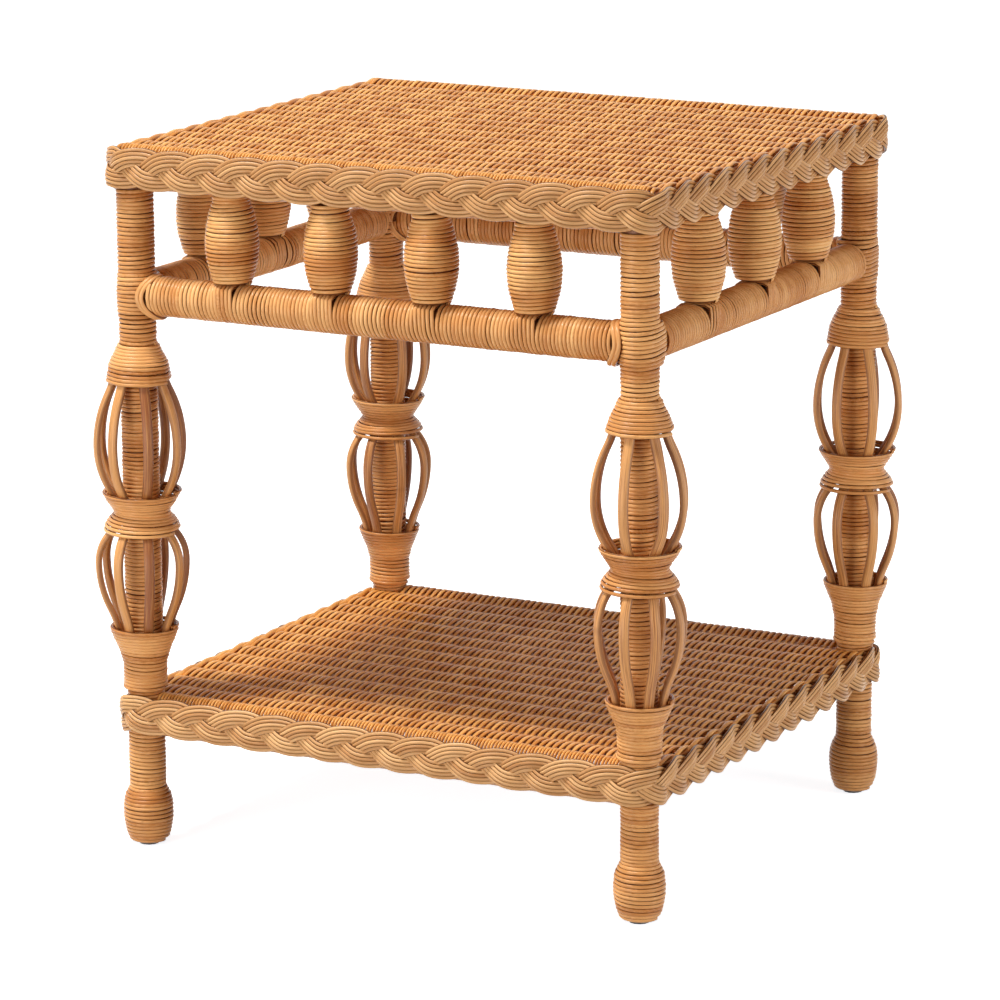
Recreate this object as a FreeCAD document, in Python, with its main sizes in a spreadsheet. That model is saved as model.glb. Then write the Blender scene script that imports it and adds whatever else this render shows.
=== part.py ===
import FreeCAD, Part
import Sketcher
import math
import os

Vec = FreeCAD.Vector

# A rattan side table with a lower shelf: four wrapped pole legs, each with a bird-cage of bent ribs,
# a spindle apron, and two woven panels edged with a flat plait.
# The origin is on the floor, midway between the feet. X runs along the front, Y to the rear, Z up.
# All sizes are in millimetres.
SIZES = {
    # Poles and rails
    "leg_span_x": 436.0,
    "leg_span_y": 387.0,
    "table_height": 560.0,
    "shelf_height": 125.0,
    "rail_below_top": 117.4,
    "pole_dia": 24.0,
    "rail_dia": 25.6,
    "frame_dia": 24.0,
    "bar_sides": 12,
    "seat_gap": 0.2,
    # Cane binding
    "cane_thickness": 2.6,
    "binding_gap": 0.3,
    "binding_thickness": 2.3,
    "binding_width": 3.4,
    "binding_turns": 5,
    "wound_sides": 16,
    # Bird-cage on each leg, from the shelf up to the apron rail
    "sleeve_above_shelf": 27.0,
    "cup_lift": 1.7,
    "cup_depth": 24.0,
    "waist_share": 0.49,
    "waist_below": 16.0,
    "waist_above": 14.0,
    "bell_depth": 23.0,
    "bell_below_rail": 28.0,
    "upper_belly_dia": 74.5,
    "upper_belly_share": 0.41,
    "lower_belly_dia": 74.0,
    "lower_belly_share": 0.366,
    "waist_bend": 19.0,
    "rib_width": 8.0,
    "rib_thickness": 5.2,
    "rib_tip": 0.8,
    "rib_tip_inset": 2.5,
    "rib_count": 8,
    # Feet
    "foot_top": 48.0,
    "foot_dia": 40.5,
    "foot_end_dia": 29.6,
    "glide_dia": 16.0,
    "glide_height": 3.0,
    # Apron spindles
    "spindle_dia": 42.0,
    "spindle_end_dia": 30.0,
    "spindle_neck": 1.0,
    "spindle_sides": 12,
    "spindles_front": 4,
    "spindles_side": 3,
    # Woven panels and plaits
    "panel_thickness": 10.8,
    "top_overhang": 15.6,
    "shelf_overhang": 12.0,
    "stake_width": 6.0,
    "stake_thickness": 4.0,
    "stake_pitch": 26.0,
    "stake_edge": 8.0,
    "stake_end_inset": 3.0,
    "plait_height": 32.5,
    "plait_rise": 0.5,
    "plait_thickness": 6.4,
    "plait_edge": 2.4,
}

# Sizes that follow from the driving ones.
DERIVED = {
    "leg_x": "=leg_span_x / 2",
    "leg_y": "=leg_span_y / 2",
    "pole_r": "=pole_dia / 2",
    "wrap_bore": "=pole_r + seat_gap",
    "wrap_r": "=wrap_bore + cane_thickness",
    "wrap_seat": "=wrap_r + seat_gap",
    "rail_r": "=rail_dia / 2",
    "rail_wrap_bore": "=rail_r + seat_gap",
    "rail_wrap_r": "=rail_wrap_bore + cane_thickness",
    "frame_r": "=frame_dia / 2",
    "rail_height": "=table_height - rail_below_top",
    "panel_bottom": "=table_height - panel_thickness",
    "pole_top": "=panel_bottom - seat_gap",
    "top_frame_z": "=pole_top - frame_r",
    "top_frame_bottom": "=top_frame_z - frame_r",
    "shelf_bottom": "=shelf_height - panel_thickness",
    "top_stake_z": "=panel_bottom + (panel_thickness - stake_thickness) / 2",
    "shelf_stake_z": "=shelf_bottom + (panel_thickness - stake_thickness) / 2",
    "channel_end_inset": "=0 - stake_end_inset",
    "shelf_frame_z": "=shelf_bottom - seat_gap - frame_r",
    "shelf_frame_bottom": "=shelf_frame_z - frame_r",
    "cup_end": "=shelf_height + sleeve_above_shelf",
    "cup_rim": "=cup_end + cup_depth",
    "bell_top": "=rail_height - rail_wrap_r - bell_below_rail",
    "bell_rim": "=bell_top - bell_depth",
    "waist": "=cup_rim + waist_share * (bell_rim - cup_rim)",
    "waist_low_rim": "=waist - waist_below",
    "waist_high_rim": "=waist + waist_above",
    "foot_neck": "=shelf_frame_bottom - seat_gap",
    "foot_end_r": "=foot_end_dia / 2",
    "foot_r": "=foot_dia / 2",
    "foot_height": "=foot_top - glide_height",
    "spindle_bottom": "=rail_height + rail_wrap_r + seat_gap",
    "spindle_top": "=top_frame_bottom - seat_gap",
    "spindle_end_r": "=spindle_end_dia / 2",
    "spindle_r": "=spindle_dia / 2",
    "barrel_top": "=min(spindle_top - spindle_neck; top_plait_bottom - seat_gap)",
    "barrel_height": "=barrel_top - spindle_bottom",
    "top_plait_in": "=top_overhang + seat_gap",
    "top_plait_out": "=top_plait_in + plait_thickness",
    "top_plait_bottom": "=table_height + plait_rise - plait_height",
    "shelf_plait_out": "=wrap_seat + plait_thickness",
    "shelf_plait_bottom": "=shelf_height + plait_rise - plait_height",
    "cup_start": "=shelf_height + plait_rise + cup_lift",
}

LEGS = {"front_left": (-1, -1), "front_right": (1, -1), "rear_right": (1, 1), "rear_left": (-1, 1)}
SIDES = {"front": ("x", -1), "rear": ("x", 1), "left": ("y", -1), "right": ("y", 1)}
ALONG = {
    "x": FreeCAD.Rotation(Vec(0, 1, 0), 90),
    "y": FreeCAD.Rotation(Vec(1, 0, 0), -90),
    "z": FreeCAD.Rotation(),
}

doc = FreeCAD.newDocument("rattan_side_table")
sheet = doc.addObject("Spreadsheet::Sheet", "Dimensions")
for row, (alias, content) in enumerate({**SIZES, **DERIVED}.items(), 1):
    sheet.set(f"A{row}", alias)
    sheet.set(f"B{row}", str(content))
    sheet.setAlias(f"B{row}", alias)
probe = doc.addObject("Spreadsheet::Sheet", "Probe")
doc.recompute()
nodes = []


def size(alias):
    return float(sheet.get(alias))


def value(text):
    """The number that an expression of aliases comes to."""
    probe.set("A1", "=" + cells(text))
    doc.recompute()
    return float(probe.get("A1"))


def cells(text):
    """Writes the sheet's name before each alias in an expression, whose words stand apart."""
    named = (f"Dimensions.{word}" if word in SIZES or word in DERIVED else word for word in text.split())
    return " ".join(named)


def bind(item, **expressions):
    for name, text in expressions.items():
        item.setExpression(name, cells(text))


def place(item, x="0", y="0", z="0"):
    bind(item, **{"Placement.Base.x": x, "Placement.Base.y": y, "Placement.Base.z": z})


def node(item, label):
    item.Label = label
    nodes.append(item)


def cylinder(name, radius, length, x="0", y="0", z="0", along="z"):
    item = doc.addObject("Part::Cylinder", name)
    item.Placement = FreeCAD.Placement(Vec(), ALONG[along])
    bind(item, Radius=radius, Height=length)
    place(item, x, y, z)
    return item


def prism(name, radius, length, x="0", y="0", z="0", along="z"):
    """A covered pole or a small foot, with flat sides."""
    item = doc.addObject("Part::Prism", name)
    item.Placement = FreeCAD.Placement(Vec(), ALONG[along])
    bind(item, Polygon="bar_sides", Circumradius=radius, Height=length)
    place(item, x, y, z)
    return item


def box(name, length, width, height, x, y, z):
    item = doc.addObject("Part::Box", name)
    bind(item, Length=length, Width=width, Height=height)
    place(item, x, y, z)
    return item


def cut(name, base, tool):
    item = doc.addObject("Part::Cut", name)
    item.Base = base
    item.Tool = tool
    return item


def compound(name, items):
    item = doc.addObject("Part::Compound", name)
    item.Links = items
    return item


def copies(item, name, spots):
    """One node of copies of an item, each at an (x, y) given as expressions."""
    links = []
    for number, (x, y) in enumerate(spots, 1):
        link = doc.addObject("App::Link", f"{name}_{number}")
        link.LinkedObject = item
        place(link, x, y)
        links.append(link)
    node(compound(name + "_all", links), name)


LEG_SPOTS = [(f"{sx} * leg_x", f"{sy} * leg_y") for sx, sy in LEGS.values()]


def origin_of(body, role):
    return next(item for item in body.Origin.OriginFeatures if item.Role == role)


def side_outline(name, rings):
    """An upright outline, alike on both sides of the axis, through (half width, height) expressions."""
    sketch = doc.addObject("Sketcher::SketchObject", name)
    sketch.Placement = FreeCAD.Placement(Vec(), FreeCAD.Rotation(Vec(1, 0, 0), 90))
    pins = [(1, *ring) for ring in rings] + [(-1, *ring) for ring in reversed(rings)]
    spots = [Vec(sign * value(width), value(height)) for sign, width, height in pins]
    for start, end in zip(spots, spots[1:] + spots[:1]):
        sketch.addGeometry(Part.LineSegment(start, end))
    for edge, (sign, width, height) in enumerate(pins):
        sketch.addConstraint(Sketcher.Constraint("Coincident", edge, 2, (edge + 1) % len(pins), 1))
        ends = (-1, 1, edge, 1) if sign > 0 else (edge, 1, -1, 1)
        across = sketch.addConstraint(Sketcher.Constraint("DistanceX", *ends, value(width)))
        up = sketch.addConstraint(Sketcher.Constraint("DistanceY", -1, 1, edge, 1, value(height)))
        bind(sketch, **{f"Constraints[{across}]": width, f"Constraints[{up}]": height})
    return sketch


def wound(name, sides, widest, rings):
    """A body of wound cane with flat sides: the part that is common to slabs of one outline, turned in steps.
    Its rings are (distance to the flats, height) expressions, upwards."""
    slab = doc.addObject("Part::Extrusion", f"{name}_slab")
    slab.Base = side_outline(f"{name}_outline", rings)
    slab.DirMode = "Normal"
    slab.Solid = True
    slab.Symmetric = True
    bind(slab, LengthFwd=f"2 * {widest}")
    slabs = [slab]
    for step in range(1, int(size(sides)) // 2):
        link = doc.addObject("App::Link", f"{name}_slab_{step + 1}")
        link.LinkedObject = slab
        link.Placement = FreeCAD.Placement(Vec(), FreeCAD.Rotation(Vec(0, 0, 1), step * 360 / size(sides)))
        slabs.append(link)
    item = doc.addObject("Part::MultiCommon", name)
    item.Shapes = slabs
    return item


def swollen(end, middle, start, length, shape):
    """Rings of a body that swells from an end radius to a middle one, by shares of its length and swell."""
    rings = []
    for rise, swell in shape:
        rings.append((f"{end} + {swell} * ( {middle} - {end} )", f"{start} + {rise} * {length}"))
    return rings


def wound_tube(name, widest, outside, inside):
    body = wound(f"{name}_body", "wound_sides", widest, outside)
    return cut(name, body, wound(f"{name}_bore", "wound_sides", widest, inside))


# Leg poles
# A straight pole from the glide to the underside of the top panel.
for leg, (x, y) in zip(LEGS, LEG_SPOTS):
    pole = cylinder(f"pole_{leg}", "pole_r", "pole_top - glide_height", x, y, "glide_height")
    node(pole, f"leg_pole_{leg}")

# Leg wraps
# A close winding of cane over each pole, from the shelf to the top frame.
for leg, (x, y) in zip(LEGS, LEG_SPOTS):
    length = "top_frame_bottom - seat_gap - shelf_bottom"
    skin = cylinder(f"wrap_skin_{leg}", "wrap_r", length, x, y, "shelf_bottom")
    hollow = cylinder(f"wrap_hollow_{leg}", "wrap_bore", length, x, y, "shelf_bottom")
    node(cut(f"wrap_{leg}", skin, hollow), f"leg_wrap_{leg}")

# Cage ribs
# Eight bent rods round each leg. Each starts as a thin tip under the bell binding, swells out to the upper
# belly, is drawn in at the waist, swells to the lower belly and ends as a thin tip in the cup binding.
rib_half = size("rib_thickness") / 2
rib_seat = size("wrap_seat") + rib_half
rib_top = size("bell_top") - size("rib_tip_inset")
rib_bottom = size("cup_end") + size("rib_tip_inset")


class Bend:
    """One arc of a rib's middle line. Headings are angles from straight down, outwards positive."""

    def __init__(self, start, radius, heading, end_heading):
        self.start = start
        self.heading = heading
        self.end_heading = end_heading
        self.turn = math.copysign(radius, end_heading - heading)

    def point(self, heading, offset=0.0):
        across = self.turn * (math.cos(self.heading) - math.cos(heading)) + offset * math.cos(heading)
        down = self.turn * (math.sin(heading) - math.sin(self.heading)) - offset * math.sin(heading)
        return Vec(self.start.x + across, self.start.y - down)


def rib_bends():
    """Pairs of arcs that lead from the tip to the belly, to the waist, to the belly and to the tip."""
    waist = size("waist")
    upper_belly = waist + size("upper_belly_share") * (rib_top - waist)
    lower_belly = waist - size("lower_belly_share") * (waist - rib_bottom)
    upper_swell = size("upper_belly_dia") / 2 - rib_half - rib_seat
    lower_swell = size("lower_belly_dia") / 2 - rib_half - rib_seat
    stretches = (
        (rib_top - upper_belly, upper_swell, None),
        (upper_belly - waist, -upper_swell, 1),
        (waist - lower_belly, lower_swell, 0),
        (lower_belly - rib_bottom, -lower_swell, None),
    )
    bends = []
    spot = Vec(rib_seat, rib_top)
    for drop, swell, near_waist in stretches:
        lean = 2 * math.atan2(swell, drop)
        both = drop / math.sin(abs(lean))
        radii = [both / 2, both / 2]
        if near_waist is not None:
            radii[near_waist] = size("waist_bend")
            radii[1 - near_waist] = both - size("waist_bend")
        for radius, heading, after in zip(radii, (0.0, lean), (lean, 0.0)):
            bends.append(Bend(spot, radius, heading, after))
            spot = bends[-1].point(after)
    return bends


def rib_line(offset):
    """Corners down one face of a rib, which is bent in short straight lengths."""
    corners = []
    for number, bend in enumerate(BENDS):
        if number % 2 == 0:
            corners.append(bend.point(bend.heading, offset))
        corners.append(bend.point((bend.heading + bend.end_heading) / 2, offset))
    corners.append(BENDS[-1].point(BENDS[-1].end_heading, offset))
    return corners


BENDS = rib_bends()
OUTER_LINE = rib_line(rib_half)


def rib_outside(height):
    """How far a rib's outer face stands from the leg's axis at a height."""
    for above, below in zip(OUTER_LINE, OUTER_LINE[1:]):
        if below.y <= height <= above.y:
            return above.x + (below.x - above.x) * (above.y - height) / (above.y - below.y)
    return rib_seat + rib_half


def rib_outline():
    """The side view of a rib: outer face downwards, cut thin at both tips, and inner face back up."""
    high, low = size("bell_rim"), size("cup_rim")
    tip = size("wrap_seat") + size("rib_tip")
    corners = [Vec(rib_outside(high), high)]
    corners += [corner for corner in OUTER_LINE if low < corner.y < high]
    corners += [Vec(rib_outside(low), low), Vec(tip, rib_bottom)]
    corners += reversed(rib_line(-rib_half))
    corners.append(Vec(tip, rib_top))
    return [Part.LineSegment(start, end) for start, end in zip(corners, corners[1:] + corners[:1])]


rib = doc.addObject("PartDesign::Body", "RibCage")
rib.AllowCompound = True
side_view = rib.newObject("Sketcher::SketchObject", "RibSideView")
side_view.AttachmentSupport = [(origin_of(rib, "XZ_Plane"), "")]
side_view.MapMode = "FlatFace"
side_view.addGeometry(rib_outline())
rib_pad = rib.newObject("PartDesign::Pad", "RibPad")
rib_pad.Profile = side_view
rib_pad.SideType = "Symmetric"
bind(rib_pad, Length="rib_width")
rib_ring = rib.newObject("PartDesign::PolarPattern", "RibRing")
rib_ring.Originals = [rib_pad]
rib_ring.Axis = (origin_of(rib, "Z_Axis"), [""])
rib_ring.Angle = 360
bind(rib_ring, Occurrences="rib_count")
rib.Tip = rib_ring
copies(rib, "cage_ribs", LEG_SPOTS)


# Bell bindings
# A strip of cane wound down over the upper rib tips, each turn wider than the last.
def half_way(start, corner, end):
    """The middle of the arc from start to end whose end tangents meet at corner."""
    base = (start + end) / 2
    lean = math.acos(min(1.0, (end - start).Length / 2 / (corner - start).Length))
    return base + (corner - base) * (math.tan(lean / 2) / math.tan(lean))


def two_arcs(start, way, end, end_way):
    """Two tangent arcs that leave start along way and reach end along end_way."""
    gap = end - start
    lean = 2 * (1 - way.dot(end_way))
    along = gap.dot(way + end_way)
    reach = (math.sqrt(along * along + lean * gap.dot(gap)) - along) / lean
    first, second = start + way * reach, end - end_way * reach
    meet = (first + second) / 2
    leaving = Part.Arc(start, half_way(start, first, meet), meet)
    reaching = Part.Arc(meet, half_way(meet, second, end), end)
    return [leaving, reaching]


def rib_corner(height):
    """How far the edges of a rib's outer face stand from the leg's axis at a height."""
    return math.hypot(rib_outside(height), size("rib_width") / 2)


def winding_point(turns):
    """A point on the cane's middle line, and its direction there, after some turns from the top."""
    share = turns / bell_turns
    fall = size("bell_depth") - size("binding_width")
    widen = bell_rim_bore - bell_top_bore
    radius = bell_top_bore + widen * share + size("binding_thickness") / 2
    angle = 2 * math.pi * turns
    out = Vec(math.cos(angle), math.sin(angle))
    round_way = Vec(-math.sin(angle), math.cos(angle)) * (2 * math.pi * radius)
    height = size("bell_top") - size("binding_width") / 2 - fall * share
    way = round_way + (out * widen - Vec(0, 0, fall)) / bell_turns
    return out * radius + Vec(0, 0, height), way.normalize()


def bell_winding():
    """One unbroken length of cane, flat where it lies on the ribs and ridged outside."""
    steps = [winding_point(quarter / 4) for quarter in range(4 * bell_turns + 1)]
    edges = []
    for (start, way), (end, end_way) in zip(steps, steps[1:]):
        edges += two_arcs(start, way, end, end_way)
    (start, way), (end, end_way) = steps[0], steps[-1]
    run_in = start - way * size("binding_width")
    run_out = end + end_way * size("binding_width")
    edges = [Part.LineSegment(run_in, start)] + edges + [Part.LineSegment(end, run_out)]
    out = Vec(start.x, start.y).normalize() * (size("binding_thickness") / 2)
    up = way.cross(out).normalize() * (size("binding_width") / 2)
    corners = [run_in + out, run_in - out + up, run_in - out - up]
    section = Part.makePolygon(corners + corners[:1])
    path = Part.Wire([edge.toShape() for edge in edges])
    winding = path.makePipeShell([section], True, False)
    # The faces are turned to look outwards.
    winding.fix(1e-7, 1e-7, 1e-3)
    return winding


def winding_gap(samples=48):
    """The least clear space between one turn of the cane and the next."""
    spots = [winding_point(step / samples)[0] for step in range(bell_turns * samples)]
    near = (spots[i].distanceToPoint(spots[j]) for i in range(len(spots))
            for j in range(i + samples // 2, min(i + 3 * samples // 2, len(spots))))
    return min(near) - size("binding_width")


bell_turns = round(size("binding_turns"))
bell_top_bore = math.hypot(size("wrap_seat") + size("rib_tip"), size("rib_width") / 2) + size("binding_gap")
bell_rim_bore = rib_corner(size("bell_rim")) + size("binding_gap")
bell = doc.addObject("Part::Feature", "BellWinding")
bell.Shape = bell_winding()
print(f"bell winding: least gap between turns {winding_gap():.2f} mm")
copies(bell, "bell_bindings", LEG_SPOTS)


# Waist bindings
# Cane wound over the ribs where they are drawn in: a cup above the waist and a bell below it.
def over_ribs(level):
    """The bore and the outside of a binding that lies on the ribs at a level."""
    bore = rib_outside(size(level)) + size("binding_gap")
    return (f"{bore}", level), (f"{bore} + binding_thickness", level)


waist_bore, waist_outside = zip(*map(over_ribs, ("waist_low_rim", "waist", "waist_high_rim")))
waist_binding = wound_tube("WaistBinding", "upper_belly_dia", waist_outside, waist_bore)
copies(waist_binding, "waist_bindings", LEG_SPOTS)

# Cup bindings
# A second layer of cane from just above the shelf that widens into a cup round the lower rib tips.
cup_bore, cup_outside = over_ribs("cup_rim")
shank = "wrap_seat + binding_thickness"
cup = wound_tube(
    "CupBinding",
    "lower_belly_dia",
    [(shank, "cup_start"), (shank, "cup_end"), cup_outside],
    [("wrap_seat", "cup_start"), ("wrap_seat", "cup_end"), cup_bore],
)
copies(cup, "cup_bindings", LEG_SPOTS)

# Feet
# Cane wound round the lower end of each pole, straight below the shelf and swollen to a bulb at the floor.
# A glide sits under each pole.
bulb_shape = ((0.0, 0.0), (0.3, 1.0), (0.66, 1.0), (1.0, 0.0))
bulb = swollen("foot_end_r", "foot_r", "glide_height", "foot_height", bulb_shape)
foot = wound_tube(
    "FootBulb",
    "foot_dia",
    bulb + [("foot_end_r", "foot_neck")],
    [("wrap_bore", "glide_height"), ("wrap_bore", "foot_neck")],
)
copies(foot, "foot_bulbs", LEG_SPOTS)
copies(prism("Glide", "glide_dia / 2", "glide_height"), "foot_glides", LEG_SPOTS)


# Rails of the apron and of the two panel frames
# Round poles that butt against the legs on all four sides. The apron rails have a cane wrap.
def rail(make, name, side, radius, setback, height):
    """A bar from leg to leg on one side, stopping setback short of each leg's axis."""
    along, sign = SIDES[side]
    length = f"leg_span_{along} - 2 * {setback}"
    spot = {"x": f"{sign} * leg_x", "y": f"{sign} * leg_y"}
    spot[along] = f"{setback} - leg_{along}"
    return make(name, radius, length, spot["x"], spot["y"], height, along)


for side in SIDES:
    bar = rail(prism, f"apron_bar_{side}", side, "rail_r", "wrap_seat", "rail_height")
    node(bar, f"apron_rail_{side}")
    skin = rail(cylinder, f"apron_skin_{side}", side, "rail_wrap_r", "wrap_seat", "rail_height")
    hollow = rail(cylinder, f"apron_hollow_{side}", side, "rail_wrap_bore", "wrap_seat", "rail_height")
    node(cut(f"apron_wound_{side}", skin, hollow), f"apron_wrap_{side}")
    for level in ("top", "shelf"):
        frame = rail(prism, f"{level}_bar_{side}", side, "frame_r", "wrap_bore", f"{level}_frame_z")
        node(frame, f"{level}_frame_{side}")

# Apron spindles
# Barrel-shaped wrapped spindles that stand on the apron rails and carry the top frame.
barrel_shape = ((0.0, 0.0), (0.28, 1.0), (0.72, 1.0), (1.0, 0.0))
barrel = swollen("spindle_end_r", "spindle_r", "spindle_bottom", "barrel_height", barrel_shape)
spindle = wound("Spindle", "spindle_sides", "spindle_dia", barrel + [("spindle_end_r", "spindle_top")])


def spindle_spots():
    spots = []
    for sign in (-1, 1):
        for count, axis in (("spindles_front", "x"), ("spindles_side", "y")):
            total = int(size(count))
            for number in range(total):
                step = f"{number - (total - 1) / 2} * leg_span_{axis} / ( {count} + 1 )"
                spots.append((step, f"{sign} * leg_y") if axis == "x" else (f"{sign} * leg_x", step))
    return spots


copies(spindle, "apron_spindles", spindle_spots())


# Woven panels
# A sheet of cane weavers that run from front to rear, over and under stiff stakes that run from side to side.
def block(name, overhang, bottom, height, corner):
    """An upright block that reaches overhang past the leg axes, with rounded corners."""
    blank = box(
        f"{name}_blank",
        f"leg_span_x + 2 * {overhang}",
        f"leg_span_y + 2 * {overhang}",
        height,
        f"-1 * leg_x - {overhang}",
        f"-1 * leg_y - {overhang}",
        bottom,
    )
    doc.recompute()
    rounded = doc.addObject("Part::Fillet", name)
    rounded.Base = blank
    upright = [i for i, edge in enumerate(blank.Shape.Edges, 1) if abs(edge.tangentAt(0).z) > 0.9]
    rounded.Edges = [(i, size(corner), size(corner)) for i in upright]
    return rounded


def stakes(level, kind, overhang, spare, inset):
    """The bars of a panel's stakes, or of the channels that hold them, which are larger by spare."""
    between = 2 * (size("leg_y") - size("frame_r") - size("stake_edge"))
    total = int(between / size("stake_pitch")) + 1
    bars = []
    for number in range(total):
        middle = f"{number - (total - 1) / 2} * stake_pitch"
        bars.append(
            box(
                f"{level}_{kind}_{number + 1}",
                f"leg_span_x + 2 * {overhang} - 2 * {inset}",
                f"stake_width + 2 * {spare}",
                f"stake_thickness + 2 * {spare}",
                f"{inset} - {overhang} - leg_x",
                f"{middle} - stake_width / 2 - {spare}",
                f"{level}_stake_z - {spare}",
            )
        )
    return compound(f"{level}_{kind}", bars)


top_blank = block("top_sheet", "top_overhang", "panel_bottom", "panel_thickness", "top_overhang")
shelf_blank = block("shelf_sheet", "shelf_overhang", "shelf_bottom", "panel_thickness", "shelf_overhang")
holes = [cylinder(f"leg_hole_{leg}", "wrap_seat", "panel_thickness", x, y, "shelf_bottom")
         for leg, (x, y) in zip(LEGS, LEG_SPOTS)]
notched = cut("shelf_notched", shelf_blank, compound("leg_holes", holes))
for level, sheet_blank in (("top", top_blank), ("shelf", notched)):
    channels = stakes(level, "channels", f"{level}_overhang", "seat_gap", "channel_end_inset")
    node(cut(f"{level}_woven", sheet_blank, channels), f"{level}_panel")
    node(stakes(level, "bars", f"{level}_overhang", "0", "stake_end_inset"), f"{level}_stakes")


# Plaits
# A flat three-strand plait of cane carried round the edge of each panel, outside the legs.
def plait(level, inner, outer, bottom):
    ring = block(f"{level}_plait_outer", outer, bottom, "plait_height", outer)
    doc.recompute()
    soft = doc.addObject("Part::Chamfer", f"{level}_plait_soft")
    soft.Base = ring
    levels = (size(bottom), size(bottom) + size("plait_height"))
    rims = [i for i, edge in enumerate(ring.Shape.Edges, 1)
            if any(abs(edge.BoundBox.ZMin - z) + abs(edge.BoundBox.ZMax - z) < 1e-3 for z in levels)]
    soft.Edges = [(i, size("plait_edge"), size("plait_edge")) for i in rims]
    hole = block(f"{level}_plait_hole", inner, bottom, "plait_height", inner)
    node(cut(f"{level}_plait_ring", soft, hole), f"{level}_plait")


plait("top", "top_plait_in", "top_plait_out", "top_plait_bottom")
plait("shelf", "wrap_seat", "shelf_plait_out", "shelf_plait_bottom")

# Write each piece
doc.recompute()
failed = [item.Name for item in doc.Objects if {"Invalid", "Error"} & set(item.State)]
broken = [item.Label for item in nodes if item.Shape.isNull() or not item.Shape.isValid()]
if failed or broken:
    raise RuntimeError(f"failed: {failed}, broken: {broken}")
os.makedirs("parts", exist_ok=True)
for item in nodes:
    item.Shape.exportStep(f"parts/{item.Label}.step")
print(f"{len(nodes)} nodes, {sum(len(item.Shape.Solids) for item in nodes)} solids")
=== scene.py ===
import math
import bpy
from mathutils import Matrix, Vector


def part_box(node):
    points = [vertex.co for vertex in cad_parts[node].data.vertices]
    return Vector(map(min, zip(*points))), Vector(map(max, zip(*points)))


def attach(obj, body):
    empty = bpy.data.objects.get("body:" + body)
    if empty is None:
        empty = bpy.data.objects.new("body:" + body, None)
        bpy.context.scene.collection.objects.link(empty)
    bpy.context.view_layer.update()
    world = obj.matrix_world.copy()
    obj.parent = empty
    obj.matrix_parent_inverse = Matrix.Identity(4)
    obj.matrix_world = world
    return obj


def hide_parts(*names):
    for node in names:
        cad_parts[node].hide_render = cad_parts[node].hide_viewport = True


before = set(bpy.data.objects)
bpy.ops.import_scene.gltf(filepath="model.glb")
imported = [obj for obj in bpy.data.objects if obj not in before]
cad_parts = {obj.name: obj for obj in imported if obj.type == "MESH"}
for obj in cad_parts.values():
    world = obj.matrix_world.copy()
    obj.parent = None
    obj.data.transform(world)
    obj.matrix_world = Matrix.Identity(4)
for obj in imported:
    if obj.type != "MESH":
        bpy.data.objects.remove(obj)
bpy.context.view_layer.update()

from types import SimpleNamespace
import bpy
import numpy as np
from mathutils import Matrix, Vector

# Leg poles and apron rails
# Straight rattan poles, peeled, sanded and sawn to length. They carry the table and are
# covered by cane, so that only their ends and the dark lines between turns show them.


class Wire:
    """One socket of a material's nodes, which takes sums like a number."""

    def __init__(self, tree, socket=None):
        self.tree = tree
        self.socket = socket

    def node(self, kind, settings=None, values=None, output=0):
        """A new node; values are numbers or wires for its sockets, by name or place."""
        made = self.tree.nodes.new(kind)
        for name, setting in (settings or {}).items():
            setattr(made, name, setting)
        for name, given in (values or {}).items():
            if isinstance(given, Wire):
                self.tree.links.new(given.socket, made.inputs[name])
            else:
                made.inputs[name].default_value = given
        return Wire(self.tree, made.outputs[output])

    def sum(self, operation, first, second):
        return self.node("ShaderNodeMath", {"operation": operation}, {0: first, 1: second})

    def __add__(self, other):
        return self.sum("ADD", self, other)

    def __sub__(self, other):
        return self.sum("SUBTRACT", self, other)

    def __rsub__(self, other):
        return self.sum("SUBTRACT", other, self)

    def __mul__(self, other):
        return self.sum("MULTIPLY", self, other)

    __radd__ = __add__
    __rmul__ = __mul__

    def between(self, low, high):
        """0 below low, 1 above high and a soft passage from one to the other."""
        return self.node("ShaderNodeMapRange", {"interpolation_type": "SMOOTHSTEP"},
                         {0: self, 1: low, 2: high})

    def mix(self, first, second):
        """The first colour where this is 0, the second where it is 1."""
        return self.node("ShaderNodeMix", {"data_type": "RGBA"}, {0: self, 6: first, 7: second}, 2)

    def vector(self, x, y, z=0.0):
        return self.node("ShaderNodeCombineXYZ", None, {0: x, 1: y, 2: z})

    def noise(self, scale, detail=3.0, roughness=0.55):
        return self.node("ShaderNodeTexNoise", None, {
            "Vector": self, "Scale": scale, "Detail": detail, "Roughness": roughness})


def paint(red, green, blue):
    """A colour as a screen names it, 0 to 255, for a shader's socket."""
    shares = [part / 255 for part in (red, green, blue)]
    return tuple(s / 12.92 if s < 0.04045 else ((s + 0.055) / 1.055) ** 2.4 for s in shares) + (1.0,)


def new_stuff(name):
    stuff = bpy.data.materials.new(name)
    stuff.use_nodes = True
    shader = stuff.node_tree.nodes["Principled BSDF"]
    return stuff, shader, Wire(stuff.node_tree)


def finish_stuff(shader, wire, colour, rough, bump, depth):
    """Links colour, roughness and a bump of this depth in metres to the shader."""
    links = wire.tree.links
    links.new(colour.socket, shader.inputs["Base Color"])
    links.new(rough.socket, shader.inputs["Roughness"])
    raised = wire.node("ShaderNodeBump", None, {"Strength": 0.5, "Distance": depth, "Height": bump})
    links.new(raised.socket, shader.inputs["Normal"])


def pole_stuff(name, pale, deep):
    """Bare rattan in solid poles: fine grain, cloudy colour and a satin finish."""
    stuff, shader, wire = new_stuff(name)
    where = wire.node("ShaderNodeTexCoord", output="Object")
    cloud = where.noise(scale=38.0)
    grain = where.noise(scale=900.0, detail=2.0, roughness=0.6)
    colour = (cloud * 0.7 + grain * 0.3).between(0.32, 0.7).mix(paint(*deep), paint(*pale))
    finish_stuff(shader, wire, colour, rough=grain * 0.2 + 0.42, bump=grain, depth=0.0003)
    return stuff


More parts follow.
